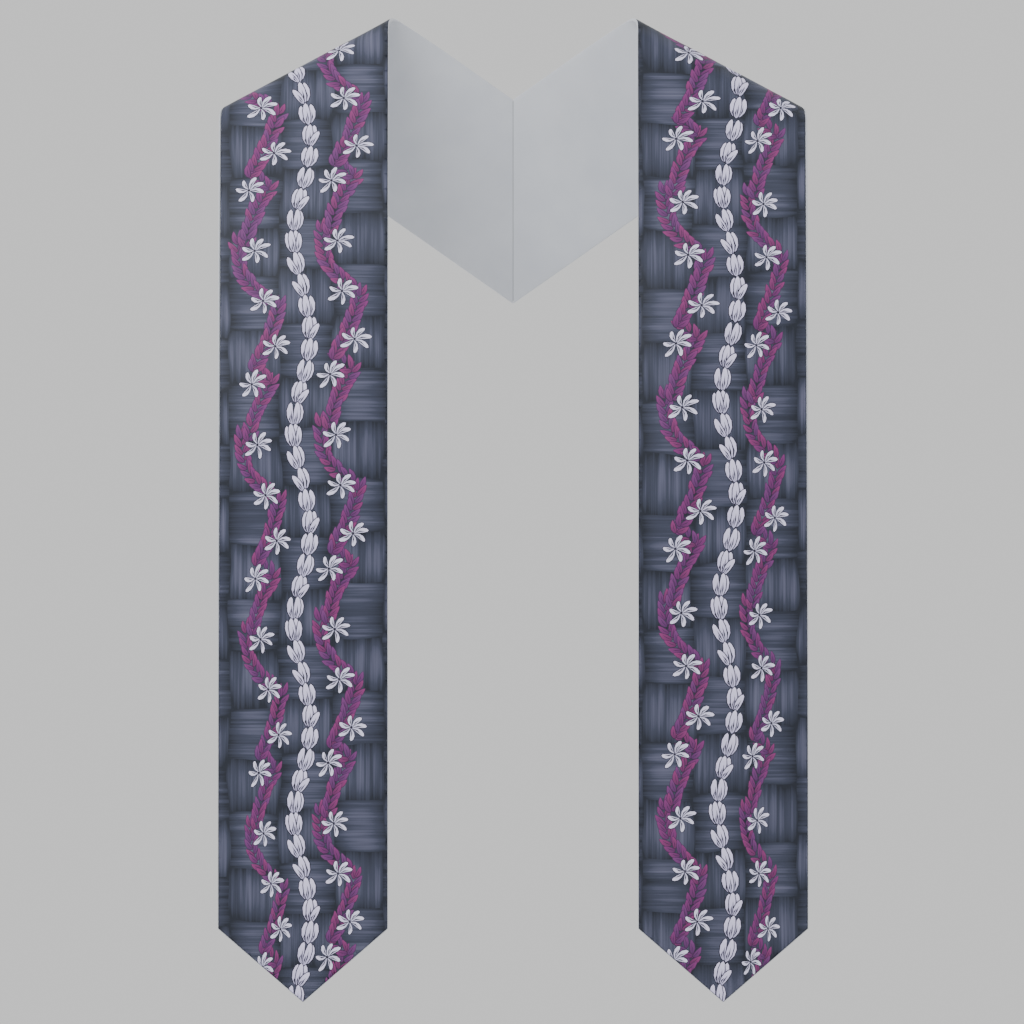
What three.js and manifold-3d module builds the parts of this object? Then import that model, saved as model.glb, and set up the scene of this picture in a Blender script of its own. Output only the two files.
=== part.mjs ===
// A graduation stole in the form it takes when worn: two bands of printed satin that hang down in
// front, fold back over the shoulders along a slanted line and meet in a mitred seam behind the
// neck opening. Each band is a face cloth set in a pale lining, whose rolled edge shows as a narrow
// line round the print. Units are millimetres and degrees. X runs to the stole's own left, Y to the
// back and Z up. The origin is the middle of the neck opening, level with the top of the neck edges.
import * as THREE from "three";
import { mergeVertices } from "three/addons/utils/BufferGeometryUtils.js";
import Module from "manifold-3d";

const wasm = await Module();
wasm.setup();
const { degToRad, lerp } = THREE.MathUtils;

// One band laid flat
const bandWidth = 127;
const pointHeight = 55;
const frontLength = 698; // up the middle, from the point to the shoulder fold

// How the bands hang
const neckGap = 186.5; // between the two hanging bands
const shoulderRadius = 17; // of the fold over the shoulder
const napeLength = 118; // up the middle, from the shoulder fold to the last bend of the nape

// Cloth
const faceThickness = 1.0;
const liningThickness = 1.0;
const layerGap = 0.3; // between face and lining
const seamGap = 0.3; // between the halves behind the neck
const rim = { neck: 0.9, arm: 1.6, point: 0.9 }; // width of the lining's rolled edge
const bowHeight = 2.5; // how far the middle of a hanging band stands out past its edges
const waveHeight = 1.6;
const waveLength = 290; // of the slow wave down a hanging band

// Mesh
const columns = 6;
const hangRows = 12;
const bluntTip = 1.2; // height at which the point is cut off

// Folds of a band, from the point up to the seam. Each is a stretch of small equal turns about
// straight lines across the band: start and length are shares of the named length given by of,
// base is where that length begins, turn is in degrees away from the print, and slantFrom and
// slantTo say how steeply the lines drop towards the arm.
const shoulderTurn = 128;
const shoulderSlant = 30;
const shoulderArc = (shoulderRadius * degToRad(shoulderTurn)) / Math.cos(degToRad(shoulderSlant));
const folds = [
  {
    name: "chest", base: 0, of: frontLength, start: 0.56, length: 0.34,
    turn: 22, slantFrom: 0, slantTo: 0, steps: 9,
  },
  {
    name: "shoulder", base: frontLength, of: shoulderArc, start: 0, length: 1,
    turn: shoulderTurn, slantFrom: shoulderSlant, slantTo: shoulderSlant, steps: 14,
  },
  {
    name: "nape", base: frontLength + shoulderArc, of: napeLength, start: 0.3, length: 0.7,
    turn: 16, slantFrom: 12, slantTo: -26, steps: 7,
  },
];

// The straight lines that the folds turn about: height up the middle of the band, slant and turn.
function turnLines() {
  return folds.flatMap((fold) =>
    Array.from({ length: fold.steps }, (_, i) => {
      const share = (i + 0.5) / fold.steps;
      return {
        at: fold.base + fold.of * (fold.start + fold.length * share),
        slant: degToRad(lerp(fold.slantFrom, fold.slantTo, share)),
        turn: degToRad(fold.turn / fold.steps),
      };
    }),
  );
}

// The flat facets between those lines, from the hanging one upwards. Each holds a point on the
// middle of the band, the directions across it, up it and out of the print, and the height there.
function facetsFrom(start) {
  const facets = [
    {
      at: 0,
      slant: 0,
      point: start.clone(),
      across: new THREE.Vector3(1, 0, 0),
      up: new THREE.Vector3(0, 0, 1),
      out: new THREE.Vector3(0, -1, 0),
    },
  ];
  for (const line of turnLines()) {
    const below = facets[facets.length - 1];
    const axis = below.across
      .clone()
      .multiplyScalar(Math.cos(line.slant))
      .addScaledVector(below.up, -Math.sin(line.slant));
    const turned = (v) => v.clone().applyAxisAngle(axis, -line.turn);
    facets.push({
      at: line.at,
      slant: line.slant,
      point: below.point.clone().addScaledVector(below.up, line.at - below.at),
      across: turned(below.across),
      up: turned(below.up),
      out: turned(below.out),
    });
  }
  return facets;
}

// Height of a facet's lower turn line at a distance s from the middle of the band.
const lineHeight = (facet, s) => facet.at - s * Math.tan(facet.slant);

// Facets placed so that the neck edge is highest at the origin's height and depth.
function placedFacets() {
  const start = new THREE.Vector3((neckGap + bandWidth) / 2, 0, 0);
  const neckEdge = facetsFrom(start).map((facet) => onFacet(facet, -bandWidth / 2, 0));
  const top = neckEdge.reduce((best, p) => (p.z > best.z ? p : best));
  return facetsFrom(new THREE.Vector3(start.x, -top.y, -top.z));
}

// The point of a facet on its lower turn line, s across from the middle, raised by lift.
function onFacet(facet, s, lift, height = lineHeight(facet, s)) {
  return facet.point
    .clone()
    .addScaledVector(facet.across, s)
    .addScaledVector(facet.up, height - facet.at)
    .addScaledVector(facet.out, lift);
}

// How far the hanging cloth stands out of its facets: bowed across the band and in a slow wave
// down it. Both die out at the shoulder fold.
function relief(s, height) {
  const shoulderStart = frontLength - (bandWidth / 2) * Math.tan(degToRad(shoulderSlant));
  const fade = 1 - THREE.MathUtils.smoothstep(height, shoulderStart * 0.75, shoulderStart);
  const bow = bowHeight * (1 - (2 * s / bandWidth) ** 2);
  return fade * (bow + waveHeight * Math.sin((2 * Math.PI * height) / waveLength));
}

// Outline of the band drawn in by a margin along its neck edge, its arm edge and its point.
function outlineOf(margin) {
  const halfWidth = bandWidth / 2;
  const pointEdge = Math.hypot(halfWidth, pointHeight);
  const tip = (margin.point * pointEdge) / halfWidth;
  const sideOf = (inset) => (height) =>
    Math.min(halfWidth - inset, ((height - tip) * halfWidth) / pointHeight);
  const cornerOf = (inset) => tip + ((halfWidth - inset) * pointHeight) / halfWidth;
  return {
    neckSide: sideOf(margin.neck),
    armSide: sideOf(margin.arm),
    heights: [tip + bluntTip, cornerOf(margin.neck), cornerOf(margin.arm)].sort((a, b) => a - b),
  };
}

// Rows of points across the band from its point to the seam, all at one level over the middle of
// the cloth. The last row is where the cloth would meet the plane x = seamX.
function sheetRows(facets, margin, level, seamX) {
  const outline = outlineOf(margin);
  const hanging = facets[0];
  const corner = outline.heights[outline.heights.length - 1];
  const firstFold = facets[1].at;
  const heights = [...new Set(outline.heights)];
  for (let i = 1; i < hangRows; i++) heights.push(lerp(corner, firstFold, i / hangRows));

  const across = (neckSide, armSide) =>
    Array.from({ length: columns + 1 }, (_, j) => lerp(-neckSide, armSide, j / columns));
  const rows = heights.map((height) =>
    across(outline.neckSide(height), outline.armSide(height)).map((s) =>
      onFacet(hanging, s, level + relief(s, height), height),
    ),
  );

  const stations = across(bandWidth / 2 - margin.neck, bandWidth / 2 - margin.arm);
  for (let i = 1; i < facets.length; i++) {
    const [below, above] = [facets[i - 1], facets[i]];
    const mitre = below.out.clone().add(above.out).divideScalar(1 + below.out.dot(above.out));
    rows.push(
      stations.map((s) =>
        onFacet(above, s, 0).addScaledVector(mitre, level + relief(s, lineHeight(above, s))),
      ),
    );
  }

  const last = facets[facets.length - 1];
  rows.push(
    stations.map((s) => {
      const from = onFacet(last, s, level);
      return from.addScaledVector(last.up, (seamX - from.x) / last.up.x);
    }),
  );
  return rows;
}

// A closed slab between two sheets of rows that match.
function slabBetween(lower, upper) {
  const rows = upper.length;
  const width = columns + 1;
  const positions = [...upper.flat(), ...lower.flat()].flatMap((p) => p.toArray());
  const top = (i, j) => i * width + j;
  const under = (i, j) => rows * width + i * width + j;
  const faces = [];
  const quad = (a, b, c, d) => faces.push(a, b, c, a, c, d);
  for (let i = 0; i + 1 < rows; i++) {
    for (let j = 0; j < columns; j++) {
      quad(top(i, j), top(i, j + 1), top(i + 1, j + 1), top(i + 1, j));
      quad(under(i, j), under(i + 1, j), under(i + 1, j + 1), under(i, j + 1));
    }
    quad(top(i, 0), top(i + 1, 0), under(i + 1, 0), under(i, 0));
    quad(top(i, columns), under(i, columns), under(i + 1, columns), top(i + 1, columns));
  }
  for (let j = 0; j < columns; j++) {
    quad(top(0, j), under(0, j), under(0, j + 1), top(0, j + 1));
    quad(top(rows - 1, j), top(rows - 1, j + 1), under(rows - 1, j + 1), under(rows - 1, j));
  }
  const geometry = new THREE.BufferGeometry();
  geometry.setAttribute("position", new THREE.Float32BufferAttribute(positions, 3));
  geometry.setIndex(faces);
  return geometry;
}

function toSolid(geometry) {
  const merged = mergeVertices(geometry, 1e-4);
  return new wasm.Manifold(
    new wasm.Mesh({
      numProp: 3,
      vertProperties: merged.getAttribute("position").array,
      triVerts: new Uint32Array(merged.index.array),
    }),
  );
}

function toGeometry(solid) {
  const mesh = solid.getMesh();
  const geometry = new THREE.BufferGeometry();
  geometry.setAttribute("position", new THREE.Float32BufferAttribute(mesh.vertProperties, 3));
  geometry.setIndex([...mesh.triVerts]);
  geometry.computeVertexNormals();
  return geometry;
}

// The same geometry on the other side of the plane x = 0, with its faces still pointing out.
function mirrored(geometry) {
  const copy = geometry.clone();
  copy.scale(-1, 1, 1);
  const index = [...copy.index.array];
  for (let i = 0; i < index.length; i += 3) {
    [index[i + 1], index[i + 2]] = [index[i + 2], index[i + 1]];
  }
  copy.setIndex(index);
  copy.computeVertexNormals();
  return copy;
}

const facets = placedFacets();
const slab = (margin, low, high, seamX) =>
  slabBetween(sheetRows(facets, margin, low, seamX), sheetRows(facets, margin, high, seamX));
const seamX = seamGap / 2;

// Face cloth: it lies in the lining with a gap all round. Levels count from the lining's front.
const faceTop = layerGap + faceThickness;
const faceMargin = {
  neck: rim.neck + layerGap,
  arm: rim.arm + layerGap,
  point: rim.point + layerGap,
};
const faceGeometry = toGeometry(toSolid(slab(faceMargin, layerGap, faceTop, seamX)));

// Lining: a sheet behind the face, with an edge all round that rises level with it.
const noMargin = { neck: 0, arm: 0, point: 0 };
const clearOfCut = 2; // how far the cutting slab reaches past what it cuts
const liningBlank = toSolid(slab(noMargin, -liningThickness, faceTop, seamX));
const liningHollow = toSolid(slab(rim, 0, faceTop + clearOfCut, seamX - clearOfCut));
const liningGeometry = toGeometry(liningBlank.subtract(liningHollow));

const printedSatin = new THREE.MeshStandardMaterial({
  name: "printed_satin", color: 0x5c6178, roughness: 0.45, metalness: 0, side: THREE.DoubleSide,
});
const paleLining = new THREE.MeshStandardMaterial({
  name: "pale_lining", color: 0xc9ccd2, roughness: 0.5, metalness: 0, side: THREE.DoubleSide,
});

function piece(name, geometry, material) {
  const mesh = new THREE.Mesh(geometry, material);
  mesh.name = name;
  return mesh;
}

const leftHalf = new THREE.Group().add(
  piece("left_face", faceGeometry, printedSatin),
  piece("left_lining", liningGeometry, paleLining),
);
const rightHalf = new THREE.Group().add(
  piece("right_face", mirrored(faceGeometry), printedSatin),
  piece("right_lining", mirrored(liningGeometry), paleLining),
);
const stole = new THREE.Group().add(leftHalf, rightHalf);

export default stole;
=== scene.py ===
"""A graduation stole of printed satin, in the form it takes when worn.

Each half is one straight band with a pointed end. It hangs down in front, folds back over the
shoulder along a slanted line and meets the other half in a mitred seam behind the neck opening.
The printed face lies in a pale lining, whose rolled edge shows as a thin line round the print.

A place on the flat band is (s, v): s runs across it from the neck edge to the arm edge, with 0 at
the middle, and v runs up it from the point. All lengths are in metres.
"""
import math

import bpy
import numpy as np
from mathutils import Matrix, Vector
from mathutils.geometry import delaunay_2d_cdt


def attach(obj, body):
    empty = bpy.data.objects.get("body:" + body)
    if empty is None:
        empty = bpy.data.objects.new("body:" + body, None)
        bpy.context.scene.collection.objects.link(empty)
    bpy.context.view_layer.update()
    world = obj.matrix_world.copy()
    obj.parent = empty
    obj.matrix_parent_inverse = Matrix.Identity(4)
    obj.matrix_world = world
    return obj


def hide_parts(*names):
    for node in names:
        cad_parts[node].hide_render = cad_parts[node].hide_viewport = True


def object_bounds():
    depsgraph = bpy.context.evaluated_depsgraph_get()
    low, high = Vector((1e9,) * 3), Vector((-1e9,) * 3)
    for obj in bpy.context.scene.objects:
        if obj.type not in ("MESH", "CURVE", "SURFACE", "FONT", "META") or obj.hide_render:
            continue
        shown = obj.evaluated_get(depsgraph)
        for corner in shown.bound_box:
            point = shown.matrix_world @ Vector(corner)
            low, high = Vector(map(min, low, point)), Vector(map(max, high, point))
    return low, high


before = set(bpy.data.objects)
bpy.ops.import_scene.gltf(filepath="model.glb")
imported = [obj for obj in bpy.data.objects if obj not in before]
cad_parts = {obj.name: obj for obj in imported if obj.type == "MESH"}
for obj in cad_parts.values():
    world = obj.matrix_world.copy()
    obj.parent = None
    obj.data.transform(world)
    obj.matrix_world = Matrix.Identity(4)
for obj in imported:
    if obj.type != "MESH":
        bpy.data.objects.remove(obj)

MM = 0.001
CAD_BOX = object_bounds()

# The band laid flat and the way it hangs, as the solids have them
BAND_WIDTH = 127 * MM
POINT_HEIGHT = 55 * MM
FRONT_LENGTH = 698 * MM
NECK_GAP = 186.5 * MM
SHOULDER_RADIUS = 17 * MM
SHOULDER_TURN = 128
SHOULDER_SLANT = 30
NAPE_LENGTH = 118 * MM
SEAM_GAP = 0.3 * MM

# How the hanging cloth stands out of its flat facets: a bow across, a slow wave down it, faint
# creases (each a slanted slow sine times a level one) and a pucker of short sines along the edges
BOW_HEIGHT = 2.5 * MM
WAVE_HEIGHT = 1.6 * MM
WAVE_LENGTH = 290 * MM
CREASES = [
    dict(height=0.45 * MM, across=74 * MM, up=610 * MM, phase=0.0, level=370 * MM, level_phase=0.8),
    dict(height=0.3 * MM, across=53 * MM, up=-430 * MM, phase=2.0, level=230 * MM, level_phase=0.0),
]
CREASES_LEFT = 0.35  # share of the creases' height that stays over the shoulder
PUCKER_HEIGHT = 0.16 * MM
PUCKERS = [dict(length=11.3 * MM, phase=0.0), dict(length=17.4 * MM, phase=1.3)]
PUCKER_REACH = 6 * MM  # how far in from the edge it dies out
SEAM_REACH = (1 * MM, 20 * MM)  # how far from the seam the cloth is held flat, and where it is loose
FADE_FROM = 0.75  # share of the way up to the shoulder's fold from which the bow and wave die out

# Levels over the front of the lining's sheet
LINING_BACK = -1.0 * MM
FACE_BACK = 0.3 * MM
FACE_FRONT = 1.3 * MM
EDGE_ROUND = 0.7 * MM  # how far in from its edge the face rolls down
ROUND_RINGS = (0.2, 1.0)  # shares of that at which its mesh has rings of places
ROLL_TOP = 1.25 * MM  # height of the lining's rolled edge

# Width of the rolled edge that shows in front. Along the arm edge it is widest up at the shoulder.
NECK_ROLL = 0.6 * MM
POINT_ROLL = 0.5 * MM
ARM_ROLL = (0.5 * MM, 1.5 * MM)
ARM_ROLL_GROWS = (130 * MM, 480 * MM)
ROLL_CLEARANCE = 0.08 * MM

HALF_WIDTH = BAND_WIDTH / 2
POINT_SLOPE = POINT_HEIGHT / HALF_WIDTH
SHOULDER_SLOPE = math.tan(math.radians(SHOULDER_SLANT))
SHOULDER_ARC = SHOULDER_RADIUS * math.radians(SHOULDER_TURN) / math.cos(math.radians(SHOULDER_SLANT))
FOLD_START = FRONT_LENGTH - HALF_WIDTH * SHOULDER_SLOPE  # of the shoulder's fold, at the arm edge

# Folds of a band, from the point up to the seam: each is a stretch of small equal turns about
# straight lines across the band. Start and length are shares of the length named by of.
FOLDS = [
    dict(base=0, of=FRONT_LENGTH, start=0.56, length=0.34, turn=22, slants=(0, 0), steps=36),
    dict(base=FRONT_LENGTH, of=SHOULDER_ARC, start=0, length=1, turn=SHOULDER_TURN,
         slants=(SHOULDER_SLANT, SHOULDER_SLANT), steps=84),
    dict(base=FRONT_LENGTH + SHOULDER_ARC, of=NAPE_LENGTH, start=0.3, length=0.7, turn=16,
         slants=(12, -26), steps=35),
]


def smoothstep(value, low, high):
    """0 up to low, 1 from high, and 3t^2 - 2t^3 between them."""
    t = np.clip((value - low) / (high - low), 0, 1)
    return t * t * (3 - 2 * t)


def turned(vector, axis, angle):
    """A vector turned by an angle about a unit axis: the part along the axis stays, and the rest
    turns by its cosine and by the cross product's sine."""
    along = axis * (axis @ vector)
    return along + (vector - along) * math.cos(angle) + np.cross(axis, vector) * math.sin(angle)


def fold_chain():
    """The flat facets between the folds' turn lines, from the hanging one up: for each its height
    up the middle of the band, the slope of its lower line, a point, and the directions across the
    band, up it and out of its front. The neck edge's highest place lies at y = 0 and z = 0."""
    heights, slopes = [0.0], [0.0]
    points = [np.array([NECK_GAP / 2 + HALF_WIDTH, 0, 0])]
    across, up, out = [np.array([1.0, 0, 0])], [np.array([0, 0, 1.0])], [np.array([0, -1.0, 0])]
    for fold in FOLDS:
        for i in range(fold["steps"]):
            share = (i + 0.5) / fold["steps"]
            height = fold["base"] + fold["of"] * (fold["start"] + fold["length"] * share)
            slant = math.radians(fold["slants"][0] + (fold["slants"][1] - fold["slants"][0]) * share)
            angle = -math.radians(fold["turn"] / fold["steps"])
            axis = across[-1] * math.cos(slant) - up[-1] * math.sin(slant)
            points.append(points[-1] + up[-1] * (height - heights[-1]))
            for directions in (across, up, out):
                directions.append(turned(directions[-1], axis, angle))
            heights.append(height)
            slopes.append(math.tan(slant))
    chain = [np.array(part) for part in (heights, slopes, points, across, up, out)]
    neck_edge = chain[2] - HALF_WIDTH * chain[3] + (HALF_WIDTH * chain[1])[:, None] * chain[4]
    top = neck_edge[neck_edge[:, 2].argmax()]
    chain[2] = chain[2] - [0, top[1], top[2]]
    return chain


LINE_HEIGHT, LINE_SLOPE, FACET_POINT, FACET_ACROSS, FACET_UP, FACET_OUT = fold_chain()
LINE_OUT = (np.vstack([FACET_OUT[:1], FACET_OUT[:-1]]) + FACET_OUT) / 2


def bent(s, v):
    """Flat places put on the folded band: on its facet a place is the facet's point, plus s across,
    plus its height over the facet's lower line up. The outward direction is blended between the
    facet's two lines, so it turns smoothly. Returns points and the across, up and out directions."""
    lines = LINE_HEIGHT[None, :] - s[:, None] * LINE_SLOPE[None, :]
    k = (v[:, None] >= lines[:, 1:]).sum(1)
    rows = np.arange(len(s))
    following = np.minimum(k + 1, len(LINE_HEIGHT) - 1)
    span = np.maximum(lines[rows, following] - lines[rows, k], 1e-6)
    share = np.clip((v - lines[rows, k]) / span, 0, 1)[:, None]
    last = (following == k)[:, None]
    share = np.where(last, 1.0, share)
    out = LINE_OUT[k] * (1 - share) + np.where(last, FACET_OUT[k], LINE_OUT[following]) * share
    out /= np.linalg.norm(out, axis=1, keepdims=True)
    points = FACET_POINT[k] + FACET_ACROSS[k] * s[:, None] + FACET_UP[k] * (v - LINE_HEIGHT[k])[:, None]
    return points, FACET_ACROSS[k], FACET_UP[k], out


def seam_height(s, level):
    """How far up the band the cloth at a level meets the seam's plane, x = half the seam's gap. The
    last facet is flat, so this is a straight line in s."""
    point, across, up, out = (part[-1] for part in (FACET_POINT, FACET_ACROSS, FACET_UP, FACET_OUT))
    reach = SEAM_GAP / 2 - point[0] - across[0] * s - out[0] * level
    return LINE_HEIGHT[-1] + reach / up[0]


def arm_roll(v):
    """Width of the rolled edge along the arm edge, growing smoothly from the point to the chest."""
    return ARM_ROLL[0] + (ARM_ROLL[1] - ARM_ROLL[0]) * smoothstep(v, *ARM_ROLL_GROWS)


def inward(s, v, level=0.0):
    """How far in a place lies from the edge of the sheet inside the rolled edge: the least of its
    distances to the neck edge, the arm edge, the two edges of the point and the seam."""
    seam_slope = float(seam_height(np.array(0.0), level) - seam_height(np.array(1.0), level))
    distances = [
        HALF_WIDTH + s - NECK_ROLL - ROLL_CLEARANCE,
        HALF_WIDTH - s - arm_roll(v) - ROLL_CLEARANCE,
        (v - np.abs(s) * POINT_SLOPE) / math.hypot(1, POINT_SLOPE) - POINT_ROLL - ROLL_CLEARANCE,
        (seam_height(s, level) - v) / math.hypot(1, seam_slope),
    ]
    return np.minimum.reduce(distances)


def relief(s, v):
    """How far the cloth stands out of its flat facets. A hanging band is bowed across (1 less the
    square of its share of the half width), runs in one slow sine wave down its length, and has two
    faint soft creases (products of slow sines). Its edges pucker in short sines that die out
    exponentially away from the edge. All of it dies out before the seam."""
    hanging = 1 - smoothstep(v, FOLD_START * FADE_FROM, FOLD_START)
    bow = BOW_HEIGHT * (1 - (s / HALF_WIDTH) ** 2)
    wave = WAVE_HEIGHT * np.sin(2 * np.pi * v / WAVE_LENGTH)
    creases = sum(
        crease["height"]
        * np.sin(2 * np.pi * (s / crease["across"] + v / crease["up"]) + crease["phase"])
        * np.sin(2 * np.pi * v / crease["level"] + crease["level_phase"])
        for crease in CREASES
    )
    pucker = sum(np.sin(2 * np.pi * v / one["length"] + one["phase"]) for one in PUCKERS) / len(PUCKERS)
    pucker *= PUCKER_HEIGHT * np.exp(-np.maximum(HALF_WIDTH - np.abs(s), 0) / PUCKER_REACH)
    loose = smoothstep(seam_height(s, 0.0) - v, *SEAM_REACH)
    creases *= CREASES_LEFT + (1 - CREASES_LEFT) * hanging
    return loose * (hanging * (bow + wave) + creases + pucker)


def surface(s, v, level):
    """Points and unit normals of the folded cloth, where level is a function of (s, v) that gives its
    height over the facets. The normal is the outward direction less the level's slope across the
    band and up it."""
    step = 0.05 * MM
    slope_s = (level(s + step, v) - level(s - step, v)) / (2 * step)
    slope_v = (level(s, v + step) - level(s, v - step)) / (2 * step)
    points, across, up, out = bent(s, v)
    normals = out - across * slope_s[:, None] - up * slope_v[:, None]
    normals /= np.linalg.norm(normals, axis=1, keepdims=True)
    return points + out * level(s, v)[:, None], normals


EDGE_SPACING = 3 * MM  # between places along a sheet's edge


def along(start, end):
    """Places from start to end, end left out, about the edge's spacing apart."""
    start, end = np.asarray(start, float), np.asarray(end, float)
    count = max(1, int(round(np.linalg.norm(end - start) / EDGE_SPACING)))
    return start + (end - start) * (np.arange(count) / count)[:, None]


def band_outline(roll, level):
    """The edge of a sheet laid flat, from the neck edge's top down to the point, up the arm edge and
    back along the seam. roll is the share of the rolled edge's width that it is drawn in by: 0 for
    the whole band, 1 for the face. Returns the places and how many come before the seam."""
    gap = ROLL_CLEARANCE * roll
    neck = -HALF_WIDTH + NECK_ROLL * roll + gap
    tip = (POINT_ROLL * roll + gap) * math.hypot(1, POINT_SLOPE)
    arm_corner = HALF_WIDTH - arm_roll(POINT_HEIGHT) * roll - gap
    arm_top = HALF_WIDTH - arm_roll(FRONT_LENGTH) * roll - gap
    corners = [
        (neck, float(seam_height(np.array(neck), level))),
        (neck, tip - neck * POINT_SLOPE),
        (0.0, tip),
        (arm_corner, tip + arm_corner * POINT_SLOPE),
        (arm_corner, float(seam_height(np.array(arm_top), level))),
    ]
    sides = [along(a, b) for a, b in zip(corners[:-1], corners[1:])]
    arm = sides[3]
    arm[1:, 0] = HALF_WIDTH - arm_roll(arm[1:, 1]) * roll - gap
    seam = along((arm_top, corners[-1][1]), corners[0])
    before = sum(len(side) for side in sides) + 1
    return np.concatenate(sides + [seam]), before


ROWS_TURN = (0.86, 0.96)  # shares of the front's length between which the mesh rows tilt
SHEET_MARGIN = 2 * MM  # that a plain sheet's inner places keep from its edge
PRINT_MARGIN = 0.1 * MM  # and the printed sheet's


def row_slope(v):
    """Slope of the rows of a sheet's mesh, which roughly follow the folds' turn lines: level where
    the band hangs, the shoulder's slope at its fold, and slowly level again up to the seam."""
    heights = [0, FRONT_LENGTH * ROWS_TURN[0], FRONT_LENGTH * ROWS_TURN[1], LINE_HEIGHT[-1]]
    return np.interp(v, heights, [0, 0, SHOULDER_SLOPE, 0])


def mesh_rows(across, hanging, folded):
    """Places for a sheet's mesh in rows that follow the folds: across apart in s, hanging apart up
    the hanging part and folded apart over the shoulder and the nape."""
    rows = [np.arange(0, FOLD_START, hanging)]
    rows.append(np.arange(FOLD_START, FRONT_LENGTH + SHOULDER_ARC + HALF_WIDTH, folded))
    rows.append(np.arange(rows[1][-1] + hanging, LINE_HEIGHT[-1] + 3 * HALF_WIDTH, hanging))
    rows = np.concatenate(rows)
    columns = np.arange(-HALF_WIDTH, HALF_WIDTH + across, across)
    v, s = np.meshgrid(rows, columns, indexing="ij")
    return np.column_stack([s.ravel(), (v - s * row_slope(v)).ravel()])


def within(places, margin, level=0.0):
    """Those places that lie farther in from the sheet's edge than a margin."""
    return places[inward(places[:, 0], places[:, 1], level) > margin]


SAME_PLACE = 1e-5  # millimetres, under which two places on a flat sheet are one


def filled(outline, inner):
    """Triangles that fill an outline through inner places. The outline's places keep their order and
    come first."""
    flat = [Vector(place / MM) for place in np.concatenate([outline, inner])]
    found = delaunay_2d_cdt(flat, [], [list(range(len(outline)))], 0, SAME_PLACE, True)
    places, triangles, sources, faces = found[0], found[2], found[3], found[5]
    triangles = np.array([triangle for triangle, face in zip(triangles, faces) if face])
    rank = np.argsort([min(source) for source in sources])
    places = np.array([tuple(place) for place in places])[rank] * MM
    return places, np.argsort(rank)[triangles]


# The print, in its own flat frame: x to the right as seen from the front, y up the band. An ink is
# the colour at a motif's foot and the one at its tip.

OUTLINE_INK = ("#171628", "#1D1B30")
BUD_INK = ("#C0BCE2", "#E6E0FF")
BLOSSOM_INK = ("#CCCAE8", "#E8E4FF")
LEAF_EDGE_INK = ("#2A1432", "#42204C")
LEAF_INKS = [("#562459", "#803473"), ("#5E2556", "#8A3671"), ("#50275A", "#763A76")]

# Petals of a bud in millimetres: foot, tip, width and outward bow, the last one on top
BUDS = {
    "closed": [
        dict(foot=(-1.3, 0.8), tip=(-4.4, 15.2), width=4.4, bow=-1.5),
        dict(foot=(1.5, 0.9), tip=(4.2, 15.8), width=4.5, bow=1.6),
        dict(foot=(0.0, 0.0), tip=(-0.3, 17.0), width=5.2, bow=-0.2),
    ],
    "pair": [
        dict(foot=(-1.6, 0.9), tip=(-3.7, 16.4), width=4.7, bow=-1.4),
        dict(foot=(2.0, 1.1), tip=(4.2, 15.8), width=4.3, bow=1.5),
        dict(foot=(0.6, 0.0), tip=(1.9, 17.0), width=4.9, bow=0.6),
    ],
    "leaning": [
        dict(foot=(0.8, 3.0), tip=(2.7, 16.8), width=4.3, bow=0.8),
        dict(foot=(-1.5, 0.4), tip=(-4.9, 15.6), width=4.4, bow=-1.1),
        dict(foot=(-0.2, 0.0), tip=(-1.2, 17.0), width=4.9, bow=-0.5),
        dict(foot=(1.0, 0.0), tip=(5.5, 14.6), width=4.0, bow=1.2),
    ],
    "split": [
        dict(foot=(1.9, 0.9), tip=(4.4, 16.0), width=4.5, bow=1.4),
        dict(foot=(0.7, 0.0), tip=(0.8, 17.0), width=5.0, bow=0.3),
        dict(foot=(-0.5, 0.0), tip=(-5.9, 14.2), width=4.7, bow=-0.8),
    ],
    "open_right": [
        dict(foot=(-1.5, 0.6), tip=(-3.6, 15.9), width=4.4, bow=-1.5),
        dict(foot=(1.3, 3.0), tip=(3.2, 16.4), width=4.4, bow=0.9),
        dict(foot=(-0.2, 0.3), tip=(-0.5, 17.0), width=5.0, bow=-0.3),
        dict(foot=(0.7, -0.1), tip=(7.4, 11.7), width=4.6, bow=-0.5),
    ],
    "open_left": [
        dict(foot=(1.5, 0.7), tip=(3.9, 16.0), width=4.6, bow=1.5),
        dict(foot=(0.2, 0.2), tip=(0.3, 17.0), width=5.0, bow=0.2),
        dict(foot=(-0.7, 0.0), tip=(-6.8, 12.3), width=4.5, bow=0.4),
    ],
}
STRAND = ["closed", "open_right", "closed", "pair", "open_right", "pair", "leaning", "split", "open_left"]
STRAND_SWING = 5.8  # how far the strand waves to each side
STRAND_PHASE = 0.2  # share of a repeat by which the wave starts below its top
BUD_SCALE = np.array([0.88, 1.05])  # buds are drawn a little narrower and longer than charted

# Sprigs of a garland, in one repeat: foot and tip as (share of the repeat below its top, sideways in
# millimetres), and the bow to the left of the way from foot to tip
SPRIGS = [
    dict(foot=(1.02, 11.0), tip=(0.73, -16.5), bow=8.5),
    dict(foot=(0.745, -11.0), tip=(0.455, 7.0), bow=2.5),
    dict(foot=(0.44, 8.0), tip=(0.385, -1.5), bow=0.0),
    dict(foot=(0.385, -7.5), tip=(0.06, 13.8), bow=-2.0),
]

# Blossoms of a garland, in one repeat: share of the repeat below its top, sideways and turn
BLOSSOMS = [
    dict(share=0.03, side=1.2, turn=0),
    dict(share=0.262, side=11.2, turn=-4),
    dict(share=0.46, side=-8.0, turn=17),
    dict(share=0.772, side=-3.4, turn=5),
]

# Turn and length of a blossom's petals
PETALS = [(8, 9.4), (74, 10.2), (124, 12.4), (184, 10.2), (242, 12.0), (282, 13.2), (318, 11.6)]

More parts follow.
